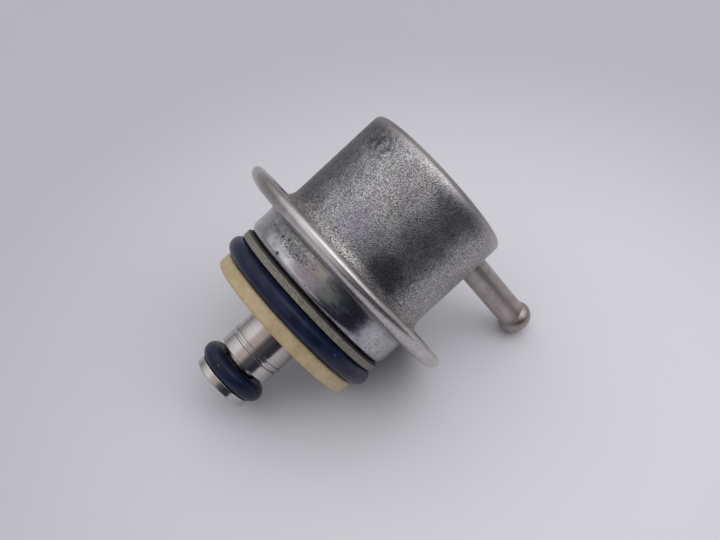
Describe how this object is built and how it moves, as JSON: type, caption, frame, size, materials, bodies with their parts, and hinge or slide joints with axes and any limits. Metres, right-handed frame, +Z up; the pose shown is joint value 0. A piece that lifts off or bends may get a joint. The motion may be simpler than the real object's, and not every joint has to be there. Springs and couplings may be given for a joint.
{
  "type": "fuel pressure regulator",
  "caption": "Crimped steel diaphragm regulator with a sprung cup, vacuum pipe, sealed neck and return spigot; a valve plate lifts off its seat to bleed fuel.",
  "frame": {"origin": "centre of the flange's rail-side face, on the regulator's axis; the part lies on its side as it comes to rest", "axes": "+Z up from the surface that it lies on; +X over the regulator's axis, from the return spigot to the spring cup; the vacuum pipe leans towards -Y"},
  "size_m": [0.0475, 0.0364, 0.0348],
  "materials": {
    "cup_steel": "dull grainy drawn steel",
    "pipe_steel": "satin drawn tube",
    "chamber_steel": "satin drawn steel",
    "turned_steel": "bright turned steel",
    "seal_rubber": "matte black rubber",
    "washer_fibre": "grey filled plastic",
    "ring_nylon": "natural nylon",
    "diaphragm_rubber": "fabric-backed rubber",
    "spring_steel": "drawn spring wire",
    "plate_steel": "pressed sheet",
    "valve_steel": "turned steel",
    "ball_steel": "polished ball"
  },
  "bodies": {
    "housing": {"spring_cup": "cup_steel", "vacuum_pipe": "pipe_steel", "fuel_chamber": "chamber_steel", "return_spigot": "turned_steel", "spigot_seal": "seal_rubber", "body_seal": "seal_rubber", "backup_washer": "washer_fibre", "retaining_ring": "ring_nylon", "diaphragm": "diaphragm_rubber", "main_spring": "spring_steel"},
    "valve": {"spring_plate": "plate_steel", "valve_holder": "valve_steel", "valve_ball": "ball_steel", "valve_plate": "valve_steel", "ball_retainer": "plate_steel"}
  },
  "joints": [
    {"name": "valve_lift", "type": "slide", "parent": "housing", "child": "valve", "axis": [0.881, 0, 0.4732], "range_m": [0, 0.0006], "stiffness_N_per_m": 9000, "deforming": ["main_spring", "diaphragm"]}
  ]
}
